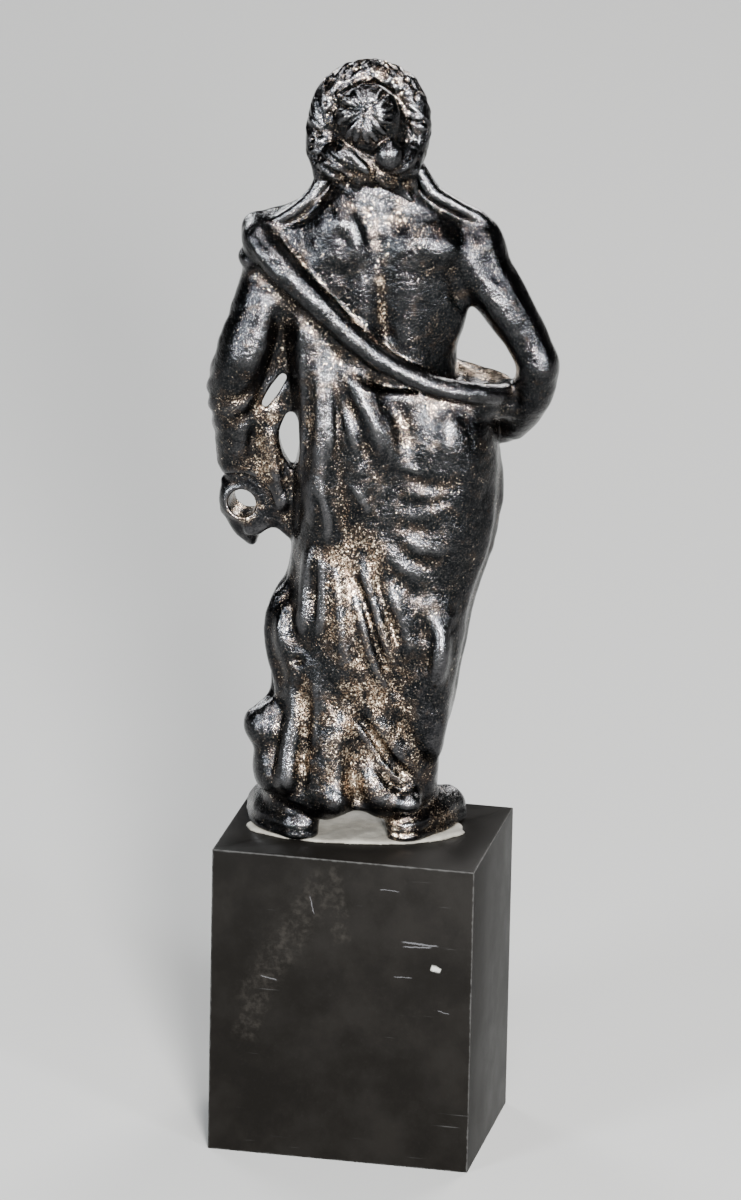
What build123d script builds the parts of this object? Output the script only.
"""A draped bronze figure, cast in sections and pinned to a black stone plinth. Millimetres, +Z up.

The origin is the centre of the plinth's underside, with the plinth square to X and Y. The figure
faces -Y and is turned a little on its plinth. Its sections are drawn in the figure's own frame,
(across, back, height): across grows to the figure's left, back to its rear, and height from the
plinth's top. Nearby sections are cut to each other, so that they meet face to face.
"""

import os
from math import cos, radians, sin

from build123d import *

# Plinth, its drilled holes and the steel pins that stand in them.
PLINTH_WIDTH = 40.0
PLINTH_DEPTH = 30.0
PLINTH_HEIGHT = 48.0
PLINTH_EDGE = 0.4
PIN_RADIUS = 1.25
PIN_CLEARANCE = 0.05
PIN_IN_PLINTH = 9.0
PIN_IN_FOOT = 6.5
PIN_BACK = 1.0
PIN_ACROSS = {"left": 9.6, "right": -8.4}
PUTTY_THICKNESS = 0.7

# The figure stands on the plinth's centre, turned about Z.
FIGURE_TURN = 11.5
FIGURE = Plane(
    origin=(0, 0, PLINTH_HEIGHT),
    x_dir=(cos(radians(FIGURE_TURN)), sin(radians(FIGURE_TURN)), 0),
    z_dir=(0, 0, 1),
)

# The left fist is pierced front to back, along Y, for the stem of a held staff.
SOCKET_RADIUS = 2.1
SOCKET_LENGTH = 4.4
FIST_REACH = 12.0
SOCKET_CENTRE = (18.7, -2.0, 51.0)

# Level sections, each (height, across, back, half width, half depth).
TORSO_LEVELS = (
    (60.0, -3.4, 0.0, 12.0, 7.0),
    (66.0, -2.8, 0.0, 11.0, 6.9),
    (73.0, -1.9, -0.1, 10.6, 6.7),
    (80.0, -0.9, 0.2, 11.8, 7.0),
    (88.0, 0.0, 0.3, 14.6, 7.3),
    (93.0, 0.2, 0.4, 15.4, 6.6),
    (96.5, 0.4, 0.5, 11.5, 5.2),
    (99.0, 0.7, 0.4, 6.4, 4.6),
    (102.0, 0.9, 0.1, 4.5, 4.4),
    (106.0, 1.0, -0.2, 4.3, 4.3),
)
HIMATION_LEVELS = (
    (3.0, 2.4, 0.0, 13.6, 7.4),
    (8.0, 2.4, 0.0, 13.8, 7.8),
    (14.0, 1.8, 0.1, 13.9, 8.0),
    (20.0, 0.6, 0.2, 13.9, 8.3),
    (29.0, -0.8, 0.3, 13.8, 8.7),
    (37.0, -2.1, 0.2, 14.2, 8.9),
    (45.0, -3.5, 0.0, 14.9, 9.2),
    (54.0, -4.2, 0.0, 15.2, 9.3),
    (61.0, -4.1, 0.1, 14.9, 9.0),
    (67.5, -3.6, 0.2, 13.8, 8.4),
    (71.0, -3.0, 0.2, 12.6, 7.7),
)
SHOULDER_DRAPE_LEVELS = (
    (62.0, 4.0, 1.6, 9.8, 8.2),
    (70.0, 5.0, 1.6, 9.8, 7.9),
    (76.0, 7.4, 1.6, 8.6, 7.5),
    (82.0, 9.9, 1.4, 7.0, 7.1),
    (88.0, 12.6, 1.0, 5.0, 6.2),
    (92.0, 14.4, 0.6, 3.2, 4.6),
)
HEAD_LEVELS = (
    (100.6, 1.0, -4.6, 2.4, 2.2),
    (103.0, 1.0, -3.3, 4.4, 4.6),
    (106.5, 1.0, -1.9, 5.4, 6.2),
    (110.0, 1.0, -1.0, 6.0, 7.0),
    (114.0, 1.0, -0.5, 6.0, 7.0),
    (117.2, 1.0, -0.3, 4.4, 5.2),
    (118.6, 1.0, -0.3, 2.2, 2.8),
)
CROWN_LEVELS = (
    (104.6, 0.9, 2.4, 4.2, 4.0),
    (108.0, 1.0, 1.6, 6.3, 5.8),
    (112.5, 1.0, 1.2, 6.9, 6.8),
    (116.5, 1.0, 0.6, 5.7, 5.8),
    (118.7, 1.0, 0.2, 3.0, 3.4),
)
NAPE_LEVELS = (
    (97.4, -0.8, 4.7, 3.4, 1.3),
    (100.0, -0.4, 4.6, 5.8, 2.4),
    (103.0, 0.4, 4.2, 6.6, 3.0),
    (106.4, 0.8, 3.8, 5.6, 2.8),
)
FIST_LEVELS = (
    (46.4, 17.9, -2.2, 2.4, 2.0),
    (48.6, 18.3, -2.1, 4.0, 2.9),
    (51.0, 18.7, -2.0, 4.5, 3.2),
    (54.0, 19.2, -1.8, 4.3, 3.2),
    (57.0, 19.6, -1.4, 4.0, 3.2),
)
HAND_DRAPE_LEVELS = (
    (43.1, 16.9, -3.0, 0.9, 0.7),
    (46.0, 16.2, -2.8, 2.9, 1.5),
    (50.0, 14.8, -2.4, 4.6, 2.2),
    (56.0, 14.6, -1.8, 3.2, 2.2),
    (61.0, 15.6, -1.2, 2.6, 2.0),
)

# Round stations along a limb or a roll of cloth, each ((across, back, height), radius).
RIGHT_ARM = (
    ((-10.6, 0.3, 95.2), 2.0),
    ((-12.6, 0.4, 93.6), 3.6),
    ((-15.2, 0.7, 90.8), 4.3),
    ((-18.6, 1.3, 84.6), 3.8),
    ((-22.6, 2.2, 78.2), 3.5),
    ((-24.2, 2.0, 72.6), 3.4),
    ((-22.6, -0.6, 66.6), 2.9),
    ((-20.6, -4.0, 62.4), 2.4),
)
RIGHT_HAND = (
    ((-20.6, -4.0, 62.4), 2.4),
    ((-19.0, -6.6, 61.4), 2.9),
    ((-15.6, -9.4, 61.6), 2.3),
    ((-12.4, -10.8, 62.2), 1.6),
    ((-11.4, -11.2, 62.4), 0.7),
)
LEFT_ARM = (
    ((14.8, 0.0, 96.0), 1.8),
    ((15.4, 0.1, 94.4), 3.4),
    ((16.6, 0.2, 91.0), 4.5),
    ((18.0, 0.6, 84.0), 4.5),
    ((19.6, 0.6, 76.0), 4.4),
    ((20.2, 0.2, 69.0), 4.3),
    ((19.9, -0.6, 63.0), 4.1),
    ((19.6, -1.4, 57.0), 3.6),
)
BACK_ROLL = (
    ((18.0, -1.0, 94.2), 2.2),
    ((17.0, 4.0, 92.4), 2.5),
    ((13.4, 6.9, 89.4), 2.5),
    ((8.0, 8.3, 84.4), 2.3),
    ((3.0, 8.3, 79.6), 2.2),
    ((-3.0, 8.4, 75.0), 2.1),
    ((-9.0, 8.3, 72.2), 2.0),
    ((-15.0, 6.7, 70.8), 1.9),
    ((-19.0, 2.6, 69.6), 1.8),
)
FRONT_ROLL = (
    ((-19.0, 2.4, 69.6), 1.8),
    ((-18.2, -3.4, 69.4), 2.0),
    ((-12.4, -7.8, 69.8), 2.2),
    ((-4.0, -9.2, 69.0), 2.3),
    ((5.0, -9.2, 67.4), 2.3),
    ((12.0, -7.4, 65.8), 2.2),
    ((17.0, -4.0, 64.6), 2.0),
)
HAIR_ROLL = (
    ((8.7, -0.4, 102.6), 0.8),
    ((8.8, -0.6, 103.8), 1.7),
    ((8.6, -1.2, 109.0), 2.3),
    ((6.6, -1.8, 114.4), 2.4),
    ((1.0, -2.2, 117.4), 2.4),
    ((-4.6, -1.8, 114.4), 2.4),
    ((-6.6, -1.2, 109.0), 2.3),
    ((-6.8, -0.6, 103.8), 1.7),
    ((-6.7, -0.4, 102.6), 0.8),
)
RIBBONS = {
    "left_ribbon": (
        ((7.6, 2.0, 103.0), 0.9),
        ((9.6, 3.2, 99.6), 1.0),
        ((12.4, 3.6, 97.0), 1.0),
        ((15.2, 3.4, 95.2), 0.8),
    ),
    "right_ribbon": (
        ((-5.8, 2.0, 103.4), 0.9),
        ((-9.0, 3.0, 99.8), 1.0),
        ((-13.0, 3.2, 97.2), 1.1),
        ((-16.6, 2.6, 94.6), 1.1),
        ((-18.4, 1.8, 90.6), 0.8),
    ),
}

# A foot is a stack of ovals, each (height, forward shift along the foot, half length, half width).
FOOT_LEVELS = (
    (0.0, 3.4, 9.2, 4.9),
    (1.6, 3.3, 9.0, 4.8),
    (3.2, 1.6, 6.8, 4.0),
    (5.0, 0.4, 4.4, 3.0),
    (6.6, 0.0, 2.8, 2.2),
)
FOOT_TURN_OUT = 30.0
FOOT_ANKLE_BACK = 1.2


def level_loft(levels):
    """A closed solid through level ovals."""
    with BuildPart() as solid:
        for height, across, back, half_width, half_depth in levels:
            with BuildSketch(Plane.XY.offset(height)):
                with Locations((across, back)):
                    Ellipse(half_width, half_depth)
        loft()
    return solid.part


def limb(stations):
    """A round solid that follows a smooth curve through its stations."""
    curve = Edge.make_spline([Vector(*place) for place, _ in stations])
    with BuildPart() as solid:
        for place, radius in stations:
            along = curve.tangent_at(curve.param_at_point(Vector(*place)))
            level_with_back = along.cross(Vector(0, 1, 0))
            with BuildSketch(Plane(origin=place, x_dir=level_with_back, z_dir=along)):
                Circle(radius)
        loft()
    return solid.part


def foot(side):
    """A shod foot turned out by FOOT_TURN_OUT, drilled from below for its pin."""
    ankle = (PIN_ACROSS[side], FOOT_ANKLE_BACK)
    outward = 1 if side == "left" else -1
    turn = radians(FOOT_TURN_OUT)
    with BuildPart() as solid:
        for height, forward, half_length, half_width in FOOT_LEVELS:
            centre = (ankle[0] + outward * forward * sin(turn), ankle[1] - forward * cos(turn))
            with BuildSketch(Plane.XY.offset(height)):
                with Locations(centre):
                    Ellipse(half_length, half_width, rotation=outward * (FOOT_TURN_OUT - 90))
        loft()
        with BuildSketch():
            with Locations((PIN_ACROSS[side], PIN_BACK)):
                Circle(PIN_RADIUS + PIN_CLEARANCE)
        extrude(amount=PIN_IN_FOOT, mode=Mode.SUBTRACT)
    return solid.part


def pin_places():
    """Where the two pins stand, in the plinth's own X and Y."""
    return [FIGURE.from_local_coords(Vector(across, PIN_BACK, 0)) for across in PIN_ACROSS.values()]


def write(part, name):
    """Writes one section as its own node."""
    part.label = name
    export_step(part, f"parts/{name}.step")


def write_section(section, name):
    """Moves a section from the figure's frame to its place on the plinth, and writes it."""
    write(section.moved(FIGURE.location), name)


os.makedirs("parts", exist_ok=True)

# The plinth: one stone block with softly broken edges and a blind hole under each foot.
with BuildPart() as plinth:
    Box(
        PLINTH_WIDTH,
        PLINTH_DEPTH,
        PLINTH_HEIGHT,
        align=(Align.CENTER, Align.CENTER, Align.MIN),
    )
    chamfer(plinth.edges(), PLINTH_EDGE)
    with Locations(*[Location((place.X, place.Y, PLINTH_HEIGHT)) for place in pin_places()]):
        Hole(PIN_RADIUS + PIN_CLEARANCE, PIN_IN_PLINTH)
write(plinth.part, "plinth")

# Steel pins, from the plinth's holes up into the feet.
for side, across in PIN_ACROSS.items():
    with BuildPart() as foot_pin:
        with BuildSketch(Plane.XY.offset(-PIN_IN_PLINTH)):
            with Locations((across, PIN_BACK)):
                Circle(PIN_RADIUS)
        extrude(amount=PIN_IN_PLINTH + PIN_IN_FOOT)
        chamfer(foot_pin.faces().filter_by(Axis.Z).edges(), PIN_RADIUS / 4)
    write_section(foot_pin.part, f"{side}_foot_pin")

# Bare torso and neck, which the sections above and beside it are cut to.
with BuildPart() as torso:
    add(level_loft(TORSO_LEVELS))

# Wrapped lower body of the mantle, from hem to hips, with room for the pins' ends.
with BuildPart() as himation:
    add(level_loft(HIMATION_LEVELS))
    add(torso.part, mode=Mode.SUBTRACT)
    with BuildSketch():
        with Locations(*[(across, PIN_BACK) for across in PIN_ACROSS.values()]):
            Circle(PIN_RADIUS + PIN_CLEARANCE)
    extrude(amount=PIN_IN_FOOT, mode=Mode.SUBTRACT)

feet = {side: foot(side) - himation.part for side in PIN_ACROSS}

# Grey bedding putty, squeezed out round both feet.
with BuildPart() as mounting_putty:
    with BuildSketch():
        with BuildLine():
            Spline(
                (18.2, 1.0),
                (12.0, 6.8),
                (1.0, 8.7),
                (-11.0, 7.4),
                (-16.6, 1.0),
                (-14.0, -7.0),
                (0.5, -6.4),
                (14.6, -6.6),
                periodic=True,
            )
        make_face()
    extrude(amount=PUTTY_THICKNESS)
    for side_foot in feet.values():
        add(side_foot, mode=Mode.SUBTRACT)
    with BuildSketch():
        with Locations(*[(across, PIN_BACK) for across in PIN_ACROSS.values()]):
            Circle(PIN_RADIUS + PIN_CLEARANCE)
    extrude(amount=PUTTY_THICKNESS, mode=Mode.SUBTRACT)

# Cloth that falls from the left shoulder down the back.
with BuildPart() as shoulder_drape:
    add(level_loft(SHOULDER_DRAPE_LEVELS))
    add(torso.part, mode=Mode.SUBTRACT)
    add(himation.part, mode=Mode.SUBTRACT)

# Bare right arm, hand on hip.
with BuildPart() as right_arm:
    add(limb(RIGHT_ARM))
    add(torso.part, mode=Mode.SUBTRACT)
    add(himation.part, mode=Mode.SUBTRACT)

with BuildPart() as right_hand:
    add(limb(RIGHT_HAND))
    for neighbour in (himation, right_arm):
        add(neighbour.part, mode=Mode.SUBTRACT)

# Left arm wrapped in the mantle, its pierced fist and the cloth that hangs from it.
with BuildPart() as left_arm:
    add(limb(LEFT_ARM))
    for neighbour in (torso, himation, shoulder_drape):
        add(neighbour.part, mode=Mode.SUBTRACT)

with BuildPart() as left_hand:
    add(level_loft(FIST_LEVELS))
    across, back, height = SOCKET_CENTRE
    socket = Plane(
        origin=SOCKET_CENTRE,
        x_dir=(cos(radians(FIGURE_TURN)), -sin(radians(FIGURE_TURN)), 0),
        z_dir=(sin(radians(FIGURE_TURN)), cos(radians(FIGURE_TURN)), 0),
    )
    with BuildSketch(socket.offset(-SOCKET_LENGTH / 2)):
        Circle(FIST_REACH)
    extrude(amount=SOCKET_LENGTH, mode=Mode.INTERSECT)
    with BuildSketch(socket.offset(-SOCKET_LENGTH)):
        Circle(SOCKET_RADIUS)
    extrude(amount=2 * SOCKET_LENGTH, mode=Mode.SUBTRACT)
    add(left_arm.part, mode=Mode.SUBTRACT)

with BuildPart() as hand_drape:
    add(level_loft(HAND_DRAPE_LEVELS))
    for neighbour in (himation, left_arm, left_hand):
        add(neighbour.part, mode=Mode.SUBTRACT)
    with BuildSketch(socket.offset(-2 * SOCKET_LENGTH)):
        Circle(SOCKET_RADIUS)
    extrude(amount=4 * SOCKET_LENGTH, mode=Mode.SUBTRACT)

# Rolled edge of the mantle, across the back and across the belly.
with BuildPart() as back_roll:
    add(limb(BACK_ROLL))
    for neighbour in (torso, himation, shoulder_drape, left_arm, right_arm):
        add(neighbour.part, mode=Mode.SUBTRACT)

with BuildPart() as front_roll:
    add(limb(FRONT_ROLL))
    for neighbour in (torso, himation, left_arm, right_arm, back_roll):
        add(neighbour.part, mode=Mode.SUBTRACT)

# Head, with the flat crown of hair behind and the thick roll of hair that frames the face.
with BuildPart() as head:
    add(level_loft(HEAD_LEVELS))
    add(torso.part, mode=Mode.SUBTRACT)

with BuildPart() as hair_crown:
    add(level_loft(CROWN_LEVELS))
    for neighbour in (torso, head):
        add(neighbour.part, mode=Mode.SUBTRACT)

with BuildPart() as hair_roll:
    add(limb(HAIR_ROLL))
    for neighbour in (head, hair_crown):
        add(neighbour.part, mode=Mode.SUBTRACT)

with BuildPart() as nape_locks:
    add(level_loft(NAPE_LEVELS))
    for neighbour in (torso, head, hair_crown, hair_roll):
        add(neighbour.part, mode=Mode.SUBTRACT)

ribbons = {}
for name, stations in RIBBONS.items():
    with BuildPart() as ribbon:
        add(limb(stations))
        for neighbour in (torso, head, hair_roll, nape_locks, back_roll, right_arm, left_arm):
            add(neighbour.part, mode=Mode.SUBTRACT)
    ribbons[name] = ribbon.part

sections = {
    "torso": torso.part,
    "himation": himation.part,
    "left_foot": feet["left"],
    "right_foot": feet["right"],
    "mounting_putty": mounting_putty.part,
    "shoulder_drape": shoulder_drape.part,
    "right_arm": right_arm.part,
    "right_hand": right_hand.part,
    "left_arm": left_arm.part,
    "left_hand": left_hand.part,
    "hand_drape": hand_drape.part,
    "back_roll": back_roll.part,
    "front_roll": front_roll.part,
    "head": head.part,
    "hair_crown": hair_crown.part,
    "hair_roll": hair_roll.part,
    "nape_locks": nape_locks.part,
    **ribbons,
}
for name, section in sections.items():
    write_section(section, name)
